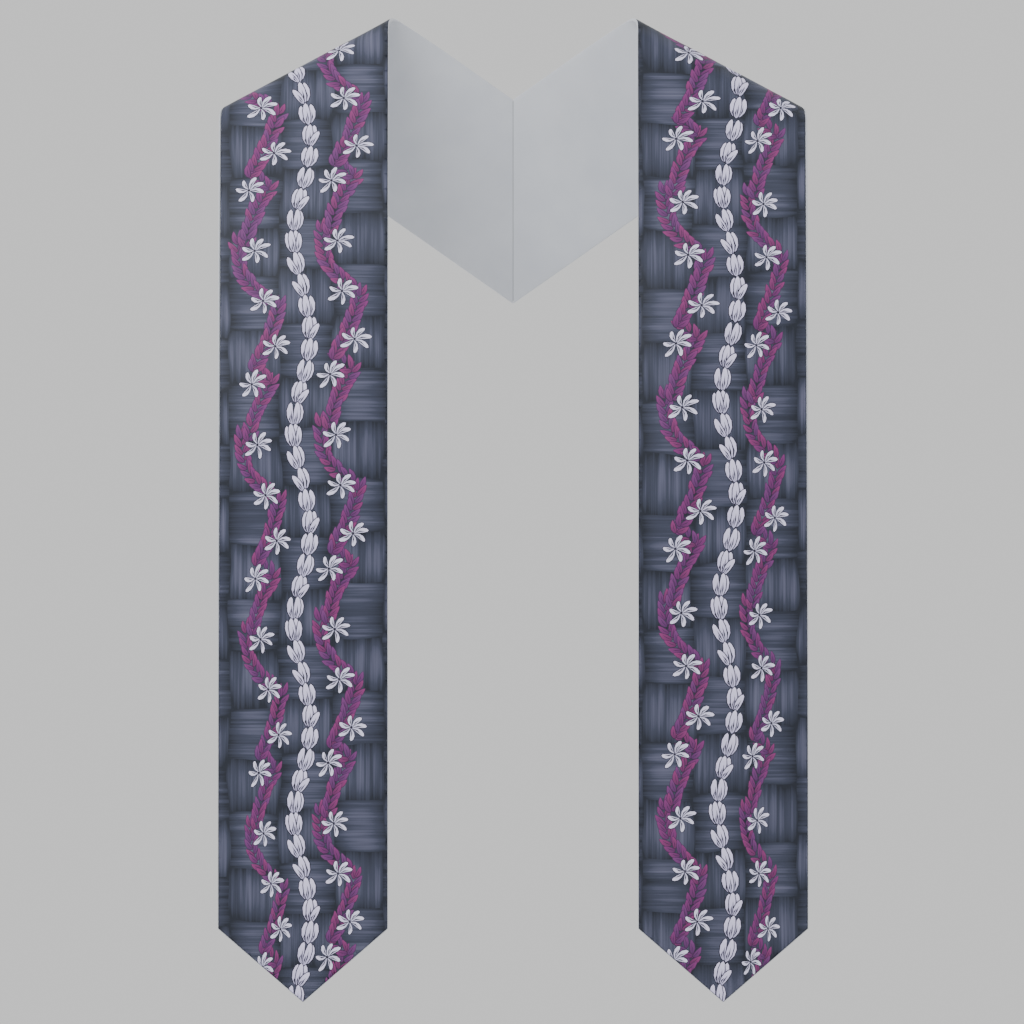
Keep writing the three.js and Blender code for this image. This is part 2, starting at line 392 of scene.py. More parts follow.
# Where the print falls on each half as it hangs, in millimetres: the repeat, the height of a
# repeat's top, and the places of the bud strand and of the two garlands, sideways and as a rise over
# that top. Each drifts sideways by its lean in every repeat. A garland's blossoms stand off it by
# their own step, and the second one hangs lower by its drop. narrow is the share of its width that a
# garland keeps at the point and at PRINT_TOP. cloth is the place on the plaited ground that the half
# was cut from, and rows the height of the ground's rows.
PRINT_TOP = 700.0
PRINTS = {
    "left": dict(
        side=1, repeat=153.2, top=562.0, strand=(5.3, -4.0), strand_lean=-1.3, seed=11,
        cloth=(5.0, 831.2), rows=42.7,
        garlands=[
            dict(x=-27.3, rise=0.0, lean=-0.8, step=(0.1, 0.0), drop=2.0, narrow=(0.89, 1.04)),
            dict(x=31.7, rise=-1.5, lean=-1.9, step=(-0.2, 0.0), drop=5.6, narrow=(0.66, 0.92)),
        ],
    ),
    "right": dict(
        side=-1, repeat=144.8, top=526.0, strand=(-1.0, 0.5), strand_lean=0.2, seed=7,
        cloth=(0.0, 19.8), rows=40.1,
        garlands=[
            dict(x=-31.2, rise=0.0, lean=2.1, step=(0.2, 1.5), drop=0.3, narrow=(0.68, 1.01)),
            dict(x=28.9, rise=9.0, lean=-0.9, step=(-1.1, 0.0), drop=2.3, narrow=(0.87, 0.99)),
        ],
    ),
}


def linear(code):
    """Linear RGB of an sRGB hex value."""
    srgb = np.array([int(code[i : i + 2], 16) for i in (1, 3, 5)]) / 255
    return np.where(srgb <= 0.04045, srgb / 12.92, ((srgb + 0.055) / 1.055) ** 2.4)


def blade(length, width, bow, rise, fall, steps):
    """Outline of a petal, leaf or drawn line that stands on (0, 0). Its half width is t to the power
    rise times (1 - t) to the power fall, scaled to the width, and its midline bows sideways as a half
    sine."""
    t = (1 - np.cos(np.linspace(0, np.pi, steps + 1))) / 2
    peak = rise / (rise + fall)
    half = width / 2 * t**rise * (1 - t) ** fall / (peak**rise * (1 - peak) ** fall)
    middle = bow * np.sin(np.pi * t)
    left = np.column_stack([middle - half, t * length])
    right = np.column_stack([middle + half, t * length])[::-1]
    return np.concatenate([left[:-1], right[:-1]])


def put(points, at, turn):
    """Points turned by an angle and moved to a place."""
    c, s = math.cos(turn), math.sin(turn)
    x, y = points[:, 0], points[:, 1]
    return np.column_stack([at[0] + c * x - s * y, at[1] + s * x + c * y])


def heading(way):
    """The turn that stands a blade along a way."""
    return -math.atan2(way[0], way[1])


class Print:
    """Drawn shapes in the order they are printed, each with the colours of its foot and its tip.
    narrow is the share of its width that a motif keeps when it is drawn in sideways."""

    def __init__(self):
        self.outlines, self.feet, self.ways, self.low, self.high = [], [], [], [], []
        self.narrow = 1.0

    def draw(self, outline, inks, moves):
        """Adds an outline after a chain of (place, turn) moves, narrowed about the last move's place.
        Its colour runs from the first ink at its foot to the second at its tip."""
        spine = np.array([[0, outline[:, 1].min()], [0, outline[:, 1].max()]])
        for at, turn in moves:
            outline, spine = put(outline, at, turn), put(spine, at, turn)
        outline, spine = [at + (part - at) * [self.narrow, 1] for part in (outline, spine)]
        self.outlines.append(outline)
        self.feet.append(spine[0])
        self.ways.append(spine[1] - spine[0])
        self.low.append(linear(inks[0]))
        self.high.append(linear(inks[1]))

    def edged(self, length, width, bow, inks, edge_inks, edge, form, moves):
        """Adds a blade over a slightly larger one that shows as its drawn edge."""
        larger = blade(length + 2 * edge, width + 2 * edge, bow, **form)
        self.draw(larger - [0, edge], edge_inks, moves)
        self.draw(blade(length, width, bow, **form), inks, moves)


# How the motifs are drawn, in millimetres. A form is how a blade rises from its foot and falls to its
# tip, as powers, and the steps up each side of it. An edge is how far its dark edge stands out.
BUD_FORM, BUD_EDGE = dict(rise=0.5, fall=0.52, steps=5), 0.7
BUD_LINES = [dict(x=0.3, bow=0.25, share=0.62), dict(x=-0.48, bow=-0.4, share=0.42)]
BUD_LINE_FOLLOWS = (0.25, 0.4)  # shares of its petal's bow that a line is moved and bowed by
BUD_LINE_FORM, BUD_LINE_WIDTH, BUD_LINE_FOOT = dict(rise=0.5, fall=0.9, steps=2), 1.05, 0.6
PETAL_FORM, PETAL_EDGE = dict(rise=0.85, fall=0.5, steps=5), 0.55
PETAL_WIDTH, PETAL_BOW = 3.35, -1.0
PETAL_LENGTHS, PETAL_WIDTHS = (0.94, 1.05), (0.92, 1.08)  # least and most share of the charted size
PETAL_FOOT = 0.8  # how far from the middle a blossom's petals start
PETAL_SWAY = 5  # most degrees that a petal is turned from its chart
PETAL_LINE = dict(width=1.0, bow=-0.9, rise=0.5, fall=0.8, steps=2)
PETAL_LINE_SHARE, PETAL_LINE_FOOT = 0.76, (0.35, 0.2)
EYE_SIZE, EYE_FORM = 1.7, dict(rise=0.5, fall=0.5, steps=4)
LEAF_FORM, LEAF_EDGE = dict(rise=0.6, fall=0.85, steps=5), 0.4
LEAF_LENGTH, LEAF_WIDTH, LEAF_BOW = 10.6, 4.3, 0.8
LEAF_SIZES = (0.88, 1.08)  # least and most share of the charted size
LEAF_SPACING = 5.3  # between the pairs along a sprig
LEAF_SPREAD = (24, 42)  # degrees that a leaf leans out, least and most
END_SPREAD = 13  # degrees that the last pair leans out
LEAF_ROOT = (0.3, 1.4)  # how far a leaf starts beside the sprig, and the right one up it too
VEIN_FORM, VEIN_FOOT = dict(rise=0.5, fall=0.8, steps=2), 0.3
VEIN_LENGTH, VEIN_WIDTH, VEIN_BOW = 8.2, 0.45, 0.5


def draw_bud(drawing, kind, at, turn):
    """A closed flower bud: overlapping petals, each with a dark edge and two drawn lines."""
    for petal in BUDS[kind]:
        foot, tip = petal["foot"] * BUD_SCALE, petal["tip"] * BUD_SCALE
        length, width, bow = float(np.hypot(*(tip - foot))), petal["width"], petal["bow"]
        moves = [(foot, heading(tip - foot)), (at, turn)]
        drawing.edged(length, width, bow, BUD_INK, OUTLINE_INK, BUD_EDGE, BUD_FORM, moves)
        for line in BUD_LINES:
            moved, bowed = [bow * share for share in BUD_LINE_FOLLOWS]
            drawn = blade(length * line["share"], BUD_LINE_WIDTH, bowed + line["bow"], **BUD_LINE_FORM)
            drawing.draw(drawn + [line["x"] + moved, BUD_LINE_FOOT], OUTLINE_INK, moves)


def draw_blossom(drawing, at, turn, rng):
    """A seven-petalled blossom whose petals all bow the same way, as a pinwheel's do."""
    for petal_turn, reach in PETALS:
        angle = turn + math.radians(petal_turn + rng.uniform(-PETAL_SWAY, PETAL_SWAY))
        length = reach * rng.uniform(*PETAL_LENGTHS) - PETAL_FOOT
        width = PETAL_WIDTH * rng.uniform(*PETAL_WIDTHS)
        moves = [((0, PETAL_FOOT), 0), (at, angle)]
        drawing.edged(
            length, width, PETAL_BOW, BLOSSOM_INK, OUTLINE_INK, PETAL_EDGE, PETAL_FORM, moves
        )
        line = blade(length * PETAL_LINE_SHARE, **PETAL_LINE)
        drawing.draw(line + PETAL_LINE_FOOT, OUTLINE_INK, moves)
    eye = blade(EYE_SIZE, EYE_SIZE, 0, **EYE_FORM)
    drawing.draw(eye - [0, EYE_SIZE / 2], OUTLINE_INK, [(at, 0)])


def draw_sprig(drawing, foot, tip, bow, rng):
    """Leaves in pairs along an arc from foot to tip, drawn tip first, so that each pair lies over the
    feet of the pair above it."""
    foot, way = np.array(foot), np.subtract(tip, foot)
    reach = float(np.hypot(*way))
    sideways = np.array([-way[1], way[0]]) / reach
    pairs = int(round(reach / LEAF_SPACING))
    for i in range(pairs, -1, -1):
        t = i / pairs
        at = foot + way * t + sideways * bow * math.sin(math.pi * t)
        lean = heading(way / reach + sideways * bow / reach * math.pi * math.cos(math.pi * t))
        for side in (-1, 1) if rng.uniform() < 0.5 else (1, -1):
            spread = END_SPREAD if i == pairs else rng.uniform(*LEAF_SPREAD)
            size = rng.uniform(*LEAF_SIZES)
            inks = LEAF_INKS[rng.integers(len(LEAF_INKS))]
            root = put(np.array([[side * LEAF_ROOT[0], LEAF_ROOT[1] * (side > 0)]]), at, lean)[0]
            moves = [(root, lean - side * math.radians(spread))]
            length, width = LEAF_LENGTH * size, LEAF_WIDTH * size
            drawing.edged(
                length, width, side * LEAF_BOW, inks, LEAF_EDGE_INK, LEAF_EDGE, LEAF_FORM, moves
            )
            vein = blade(VEIN_LENGTH * size, VEIN_WIDTH, side * VEIN_BOW, **VEIN_FORM)
            drawing.draw(vein + [0, VEIN_FOOT], LEAF_EDGE_INK, moves)


FRONT_SEEN = 0.92  # share of the front's length that is seen square from the front


def cloth_height(hung):
    """Height up the cloth, in millimetres, of a place seen so high over the point. Up the chest the
    band leans back, and the print is spaced out there so that it reads evenly from the front."""
    climb = np.linspace(0, FRONT_LENGTH * FRONT_SEEN, 200) / MM
    height = (bent(np.zeros_like(climb), climb * MM)[0][:, 2] - FACET_POINT[0][2]) / MM
    rise = (climb[-1] - climb[-2]) / (height[-1] - height[-2])
    return float(np.interp(hung, height, climb)) + max(hung - height[-1], 0) * rise + min(hung, 0)


def garland_place(chart, garland, k, share, side, shift=(0.0, 0.0)):
    """Place of a motif of a garland's repeat k, and how far the garland is drawn in there. The motif
    lies at a share of the repeat below its top and sideways of the garland, moved by a shift."""
    hung = chart["top"] + shift[1] + garland["rise"] - (k + share) * chart["repeat"]
    narrow = float(np.interp(hung, (0, PRINT_TOP), garland["narrow"]))
    return (garland["x"] + garland["lean"] * k + shift[0] + side * narrow, cloth_height(hung)), narrow


def draw_strand(drawing, chart, repeats):
    """The bud strand, in a cosine wave of one repeat, each bud leaning along the wave."""
    middle, rise = chart["strand"]
    step = chart["repeat"] / len(STRAND)
    for k in range(repeats[0] * len(STRAND), repeats[-1] * len(STRAND)):
        angle = 2 * np.pi * ((k + 1) / len(STRAND) - STRAND_PHASE)
        drift = chart["strand_lean"] * k / len(STRAND)
        height = cloth_height(chart["top"] + rise - (k + 1) * step)
        lean = -math.atan(STRAND_SWING * math.sin(angle) * 2 * math.pi / chart["repeat"])
        at = (middle + drift + STRAND_SWING * math.cos(angle), height)
        draw_bud(drawing, STRAND[k % len(STRAND)], at, lean)


def stole_print(half, height):
    """The whole print of one half, in millimetres, up to a height: two waving garlands of leaves,
    the blossoms on them and a strand of buds between them."""
    chart = PRINTS[half]
    drawing = Print()
    rng = np.random.default_rng(chart["seed"])
    first = math.floor((chart["top"] - height) / chart["repeat"]) - 1
    repeats = range(first, math.ceil(chart["top"] / chart["repeat"]) + 2)
    for garland in chart["garlands"]:
        for k in reversed(repeats):
            for sprig in SPRIGS:
                foot, _ = garland_place(chart, garland, k, *sprig["foot"])
                tip, drawing.narrow = garland_place(chart, garland, k, *sprig["tip"])
                draw_sprig(drawing, foot, tip, sprig["bow"] * drawing.narrow, rng)
    for garland in chart["garlands"]:
        for k in repeats:
            for i, blossom in enumerate(BLOSSOMS):
                shift = garland["step"][0], garland["step"][1] - garland["drop"] * (i == 1)
                share, side = blossom["share"], blossom["side"]
                at, drawing.narrow = garland_place(chart, garland, k, share, side, shift)
                draw_blossom(drawing, at, math.radians(blossom["turn"]), rng)
    drawing.narrow = 1.0
    draw_strand(drawing, chart, repeats)
    return drawing


# The printed face is triangulated in level strips, in millimetres
TILE = 12.0  # height of a strip
TILE_MARGIN = 0.8  # that places between the motifs keep from a strip's borders
BORDER_SPACING = 4.0  # of the places that every border has
LEAST_AREA = 0.004  # under which a cut piece of a shape is left out
PLACE_DIGITS = 3  # decimals that a place is rounded to


def signed_area(outline):
    """Area of an outline by the shoelace formula, positive where it runs counterclockwise."""
    x, y = outline[:, 0], outline[:, 1]
    return float((x * np.roll(y, -1) - y * np.roll(x, -1)).sum()) / 2


def cut(outline, y, above):
    """The part of an outline above or below a level line: its places on that side, and after each
    place the crossing, if there is one before the next place. A crossing is always worked out from
    the lower to the upper place, so both parts meet in the same places."""
    after = np.roll(outline, -1, 0)
    side = (outline[:, 1] - y) * (1 if above else -1)
    crosses = side * np.roll(side, -1) < 0
    rising = (outline[:, 1] < after[:, 1])[:, None]
    low, high = np.where(rising, outline, after), np.where(rising, after, outline)
    share = (y - low[:, 1]) / np.where(crosses, high[:, 1] - low[:, 1], 1.0)
    met = np.round(low[:, 0] + share * (high[:, 0] - low[:, 0]), PLACE_DIGITS)
    met = np.column_stack([met, np.full(len(met), y)])
    return np.stack([outline, met], axis=1)[np.column_stack([side >= 0, crosses])]


def inside(places, outline):
    """Whether places lie within an outline: a level ray from each crosses it an odd number of times."""
    start, end = outline, np.roll(outline, -1, 0)
    x, y = places[:, :1], places[:, 1:]
    spans = (start[:, 1] > y) != (end[:, 1] > y)
    rise = np.where(start[:, 1] == end[:, 1], 1.0, end[:, 1] - start[:, 1])
    crossing = start[:, 0] + (y - start[:, 1]) * (end[:, 0] - start[:, 0]) / rise
    return (spans & (x < crossing)).sum(1) % 2 == 1


def strip_of_sheet(shapes, ids, low, high, points):
    """Triangles of one level strip of the sheet, cut along the shapes with the given ids, and the last
    shape that holds each triangle's middle. Shape 0 is the sheet's own outline."""
    loops, start, constraints = [], 0, []
    for i in ids:
        shape = shapes[i]
        if shape[:, 1].min() < low:
            shape = cut(shape, low, True)
        if shape[:, 1].max() > high:
            shape = cut(shape, high, False)
        if len(shape) > 2 and signed_area(shape) > LEAST_AREA:
            numbers = list(range(start, start + len(shape)))
            constraints += zip(numbers, numbers[1:] + numbers[:1])
            loops.append(shape)
            start += len(shape)
    flat = [Vector(place) for place in np.concatenate([*loops, points])]
    found = delaunay_2d_cdt(flat, constraints, [], 0, SAME_PLACE, False)
    places = np.array([tuple(place) for place in found[0]])
    triangles = np.array(found[2])
    middles = places[triangles].mean(1)
    owner = np.where(inside(middles, shapes[0]), 0, -1)
    for i in ids[1:]:
        lowest, highest = shapes[i].min(0), shapes[i].max(0)
        near = np.flatnonzero(((middles > lowest) & (middles < highest)).all(1) & (owner >= 0))
        owner[near[inside(middles[near], shapes[i])]] = i
    kept = owner >= 0
    return places, triangles[kept], owner[kept] - 1


def border_places(shapes, spans, y):
    """Every place where a shape meets the level line between two strips, and a few between them, so
    that both strips have the same places there."""
    met = [cut(shapes[i], y, True) for i in np.flatnonzero((spans[:, 0] <= y) & (spans[:, 1] >= y))]
    columns = np.arange(-HALF_WIDTH, HALF_WIDTH, BORDER_SPACING * MM)
    columns = within(np.column_stack([columns, np.full(len(columns), y * MM)]), PRINT_MARGIN, FACE_FRONT)
    columns = np.column_stack([columns[:, 0] / MM, np.full(len(columns), y)])
    return np.concatenate([columns] + [places[places[:, 1] == y] for places in met])


def printed_sheet(outline, rows, drawing, side):
    """Triangles of a flat sheet, cut along every drawn shape. It is worked out in level strips whose
    borders match, and each triangle takes the last shape printed over it. Returns flat places in
    metres, triangles, and each triangle's shape, or -1 for bare ground."""
    edge = np.round(outline / MM, PLACE_DIGITS)
    shapes = [edge] + [np.round(shape * [side, 1], PLACE_DIGITS)[::-side] for shape in drawing.outlines]
    spans = np.array([(shape[:, 1].min(), shape[:, 1].max()) for shape in shapes])
    rows = np.round(within(rows, PRINT_MARGIN, FACE_FRONT) / MM, PLACE_DIGITS)
    places, triangles, inks, count = [], [], [], 0
    for k in range(int(math.ceil(edge[:, 1].max() / TILE))):
        low, high = k * TILE, (k + 1) * TILE
        ids = np.flatnonzero((spans[:, 0] < high) & (spans[:, 1] > low))
        near = rows[(rows[:, 1] > low + TILE_MARGIN) & (rows[:, 1] < high - TILE_MARGIN)]
        points = np.concatenate([near, *(border_places(shapes, spans, y) for y in (low, high))])
        part, faces, ink = strip_of_sheet(shapes, ids, low, high, points)
        places.append(part)
        triangles.append(faces + count)
        inks.append(ink)
        count += len(part)
    places, triangles, inks = np.concatenate(places), np.concatenate(triangles), np.concatenate(inks)
    keys, joined = np.unique(np.round(places, PLACE_DIGITS), axis=0, return_inverse=True)
    triangles = joined.ravel()[triangles]
    whole = (triangles != np.roll(triangles, 1, 1)).all(1)
    used, triangles = np.unique(triangles[whole], return_inverse=True)
    return keys[used] * MM, triangles.reshape(-1, 3), inks[whole]


def edge_loop(triangles):
    """The places on the rim of a sheet, in order along it, with the sheet to their left. The known
    stretch of the rim is doubled until it is whole, each time by a step of its own length."""
    pairs = np.concatenate([triangles[:, [0, 1]], triangles[:, [1, 2]], triangles[:, [2, 0]]])
    size = int(triangles.max()) + 1
    codes, back = pairs[:, 0] * size + pairs[:, 1], pairs[:, 1] * size + pairs[:, 0]
    rim = pairs[~np.isin(codes, back)]
    onward = np.zeros(size, int)
    onward[rim[:, 0]] = rim[:, 1]
    loop = rim[:1, 0]
    while len(loop) < len(rim):
        loop = np.concatenate([loop, onward[loop]])
        onward = onward[onward]
    loop = loop[: len(rim)]
    if len(np.unique(loop)) < len(rim):
        raise ValueError("the sheet's rim isn't one loop")
    return loop


def new_piece(name, points, faces, material, side, normals=None):
    """A mesh from joined arrays of points, triangles and, if given, normals. The right half is the
    left one with x turned round, so its triangles are turned too."""
    points = points * [side, 1, 1]
    if side < 0:
        faces = faces[:, ::-1]
    mesh = bpy.data.meshes.new(name)
    mesh.from_pydata(points.tolist(), [], faces.tolist())
    mesh.shade_smooth()
    if normals is not None:
        mesh.normals_split_custom_set_from_vertices((normals * [side, 1, 1]).tolist())
    mesh.materials.append(material)
    piece = bpy.data.objects.new(name, mesh)
    bpy.context.collection.objects.link(piece)
    return piece, faces


def set_map(mesh, name, corners):
    """A map of the mesh's corners."""
    layer = mesh.uv_layers.new(name=name)
    layer.data.foreach_set("uv", corners.astype(np.float32).ravel())


BAKE_COLUMNS = 3  # the long band is folded into this many columns for its baked map
BAKE_MARGINS = (0.03, 0.02)  # shares of a column left free at each side, and at its ends


def bake_places(flat, faces):
    """Corner places on the baked map: the band's length is cut into equal stretches that stand side
    by side. A triangle lies wholly in the stretch that holds its middle."""
    stretch = flat[:, 1].max() * 1.002 / BAKE_COLUMNS
    corners = flat[faces]
    column = np.clip((corners[:, :, 1].mean(1) // stretch).astype(int), 0, BAKE_COLUMNS - 1)[:, None]
    shares = (corners[:, :, 0] + HALF_WIDTH) / BAND_WIDTH, corners[:, :, 1] / stretch - column
    u, v = [share * (1 - 2 * margin) + margin for share, margin in zip(shares, BAKE_MARGINS)]
    return np.stack([(u + column) / BAKE_COLUMNS, v], axis=2).reshape(-1, 2)


def face_level(s, v):
    """Level of the printed face: flat, and rolled down in a quarter circle at its edges."""
    depth = np.clip(inward(s, v, FACE_FRONT), 0, EDGE_ROUND)
    drop = EDGE_ROUND - np.sqrt(np.maximum(EDGE_ROUND**2 - (EDGE_ROUND - depth) ** 2, 0))
    return FACE_FRONT - drop + relief(s, v)


def raised(level):
    """A sheet's level that follows the cloth's relief at an even height."""
    return lambda s, v: level + relief(s, v)


def printed_face(half):
    """The face of one half: a printed front sheet, a plain back sheet and a narrow wall between
    their rims."""
    chart = PRINTS[half]
    side = chart["side"]
    outline, _ = band_outline(1.0, FACE_FRONT)
    rounding = [inset_ring(outline, EDGE_ROUND * share) for share in ROUND_RINGS]
    rows = np.concatenate([mesh_rows(across=4 * MM, hanging=4.5 * MM, folded=2 * MM)] + rounding)
    drawing = stole_print(half, outline[:, 1].max() / MM)
    flat, triangles, inks = printed_sheet(outline, rows, drawing, side)
    front, front_normals = surface(*flat.T, face_level)

    loop = edge_loop(triangles)
    inner = within(mesh_rows(across=8 * MM, hanging=10 * MM, folded=3 * MM), SHEET_MARGIN)
    back_flat, back_triangles = filled(flat[loop], inner)
    back, back_normals = surface(*back_flat.T, raised(FACE_BACK))

    under = len(front) + np.arange(len(loop))
    onward, under_onward = np.roll(loop, -1), np.roll(under, -1)
    faces = np.concatenate([
        triangles,
        np.column_stack([loop, under, under_onward]),
        np.column_stack([loop, under_onward, onward]),
        back_triangles[:, ::-1] + len(front),
    ])
    points, normals = np.concatenate([front, back]), np.concatenate([front_normals, -back_normals])
    piece, faces = new_piece(f"{half}_printed_face", points, faces, satin_print(), side, normals)

    flat = np.concatenate([flat, back_flat])
    cloth = flat * [side, 1] + np.array(chart["cloth"]) * MM
    cloth[:, 1] *= STRIP_HEIGHT / chart["rows"]
    set_map(piece.data, "Flat", cloth[faces].reshape(-1, 2))
    set_map(piece.data, "OFBake", bake_places(flat, faces))
    inks = np.concatenate([inks, np.full(len(faces) - len(inks), -1)])
    set_inks(piece.data, drawing, (flat * [side, 1])[faces] / MM, inks)
    return piece


def set_inks(mesh, drawing, corners, inks):
    """The printed colour of each corner. Within a shape it runs from its foot's ink to its tip's by
    the corner's share of the way between them. Alpha is 1 on a drawn shape and 0 on bare ground."""
    feet, ways = np.array(drawing.feet), np.array(drawing.ways)
    low, high = np.array(drawing.low), np.array(drawing.high)
    offset = corners - feet[inks][:, None, :]
    share = (offset * ways[inks][:, None, :]).sum(2) / (ways[inks] ** 2).sum(1)[:, None]
    share = np.clip(share, 0, 1)[:, :, None]
    colour = low[inks][:, None, :] * (1 - share) + high[inks][:, None, :] * share
    alpha = np.broadcast_to((inks >= 0).astype(float)[:, None, None], (*share.shape[:2], 1))
    values = np.concatenate([colour * alpha, alpha], axis=2)
    layer = mesh.color_attributes.new("Ink", "FLOAT_COLOR", "CORNER")
    layer.data.foreach_set("color", values.astype(np.float32).ravel())


def inset_ring(outline, distance):
    """An outline drawn in by a distance, corner by corner along the mean of its two edges' normals."""
    ahead, behind = np.roll(outline, -1, 0) - outline, outline - np.roll(outline, 1, 0)
    sides = [np.column_stack([-way[:, 1], way[:, 0]]) for way in (ahead, behind)]
    sides = [side / np.maximum(np.linalg.norm(side, axis=1, keepdims=True), 1e-12) for side in sides]
    mitre = (sides[0] + sides[1]) / (1 + (sides[0] * sides[1]).sum(1))[:, None]
    return outline + mitre * distance


ROLL_STEPS = 12  # round the half ellipse of the rolled edge
SEAM_STEPS = 39  # along the inner sheet's end at the seam
ROLL_CREASE = 50  # degrees, from which an edge of the lining is drawn sharp


def roll_rings(outline, before):
    """The rolled edge as rings of flat places with their levels, from the back sheet's edge over to
    the inner sheet's. The section is a half ellipse as wide as the rolled edge, which then turns down
    to the inner sheet. Each ring ends on the seam's plane."""
    edge = outline[:before]
    inset = inset_ring(outline, 1.0)[:before] - edge
    width = np.select(
        [edge[:, 0] < -HALF_WIDTH + 1e-6, edge[:, 0] > HALF_WIDTH - 1e-6],
        [NECK_ROLL, arm_roll(edge[:, 1])],
        POINT_ROLL,
    )
    middle, height = (ROLL_TOP + LINING_BACK) / 2, (ROLL_TOP - LINING_BACK) / 2
    angles = np.linspace(-np.pi / 2, np.pi / 2, ROLL_STEPS + 1)
    rings = [edge + inset * (width * (1 - math.cos(angle)) / 2)[:, None] for angle in angles]
    rings.append(edge + inset * width[:, None])
    levels = [middle + height * math.sin(angle) for angle in angles] + [0.0]
    for ring, level in zip(rings, levels):
        ring[[0, -1], 1] = seam_height(ring[[0, -1], 0], level)
    return rings, levels


def rolled_lining(half):
    """The lining of one half: a back sheet, an edge that rolls over to the front round the band, and
    an inner sheet behind the face. At the seam the three are closed by a flat end."""
    side = PRINTS[half]["side"]
    rings, levels = roll_rings(*band_outline(0.0, 0.0))
    before = len(rings[0])
    seam_s = np.linspace(rings[-1][-1][0], rings[-1][0][0], SEAM_STEPS + 1)[1:-1]
    inner = within(mesh_rows(across=5 * MM, hanging=6 * MM, folded=2 * MM), SHEET_MARGIN)
    flats, faces = rings[1:-1], []
    for ring, level, way in ((rings[0], levels[0], -1), (rings[-1], levels[-1], 1)):
        seam = np.column_stack([seam_s, seam_height(seam_s, level)])
        flat, triangles = filled(np.concatenate([ring, seam]), inner)
        faces.append(triangles[:, ::way] + sum(len(part) for part in flats))
        flats.append(flat)
    starts = np.cumsum([0] + [len(part) for part in flats])
    points = [
        surface(*flat.T, raised(level))[0]
        for flat, level in zip(flats, levels[1:-1] + [levels[0], levels[-1]])
    ]

    count = len(flats)
    ring_start = starts[[count - 2, *range(count - 2), count - 1]]
    steps = np.arange(before - 1)
    for a, b in zip(ring_start[:-1], ring_start[1:]):
        faces.append(np.column_stack([a + steps, b + steps + 1, b + steps]))
        faces.append(np.column_stack([a + steps, a + steps + 1, b + steps + 1]))
    seam_row = np.concatenate([[before - 1], np.arange(before, before + len(seam_s)), [0]])
    low, high = ring_start[0] + seam_row, ring_start[-1] + seam_row
    faces.append(np.column_stack([low[:-1], high[1:], high[:-1]]))
    faces.append(np.column_stack([low[:-1], low[1:], high[1:]]))
    for end, order in ((0, 1), (before - 1, -1)):
        section = ring_start + end
        fan = np.column_stack([np.full(len(section) - 2, section[0]), section[1:-1], section[2:]])
        faces.append(fan[:, ::order])
    points, faces = np.concatenate(points), np.concatenate(faces)
    piece, faces = new_piece(f"{half}_rolled_lining", points, faces, lining_satin(), side)
    piece.data.set_sharp_from_angle(angle=math.radians(ROLL_CREASE))
    set_map(piece.data, "Flat", (np.concatenate(flats) * [side, 1])[faces].reshape(-1, 2))
    return piece


# Materials


def add(tree, kind, inputs=(), **settings):
    """A new shader node with its settings. Each input is a value, a socket, or a node whose first
    output it takes."""
    node = tree.nodes.new("ShaderNode" + kind)
    for name, value in settings.items():
        setattr(node, name, value)
    for name, value in dict(inputs).items():
        if isinstance(value, bpy.types.Node):
            value = value.outputs[0]
        if isinstance(value, bpy.types.NodeSocket):
            tree.links.new(value, node.inputs[name])
        else:
            node.inputs[name].default_value = value
    return node


def new_material(name):
    """An empty material and its node tree."""
    material = bpy.data.materials.new(name)
    material.use_nodes = True
    material.node_tree.nodes.clear()
    return material, material.node_tree


# The print's plaited ground, in millimetres
STRIP_WIDTH = 38.5  # of the upright strips
STRIP_HEIGHT = 40.1  # of the level strips
STRIP_START = 0.43  # share of the first upright strip that lies left of x = 0
STRIP_STAGGER = 0.14  # share of a strip's height by which each column's rows rise over the last
WANDER, WANDER_LENGTH = 9.0, 55.0  # how far the strips wander, and over what length
STREAKS = [dict(width=1.3, detail=2.0, weight=0.7), dict(width=5.85, detail=1.0, weight=0.8)]
STREAK_LENGTH = 70.0
BULGE_POWER = 2.4
EDGE_SHARE = 0.07  # of a strip's width, over which the dark line at its edge fades
GROUND_INKS = ("#1B202C", "#3A3F52", "#66677F")


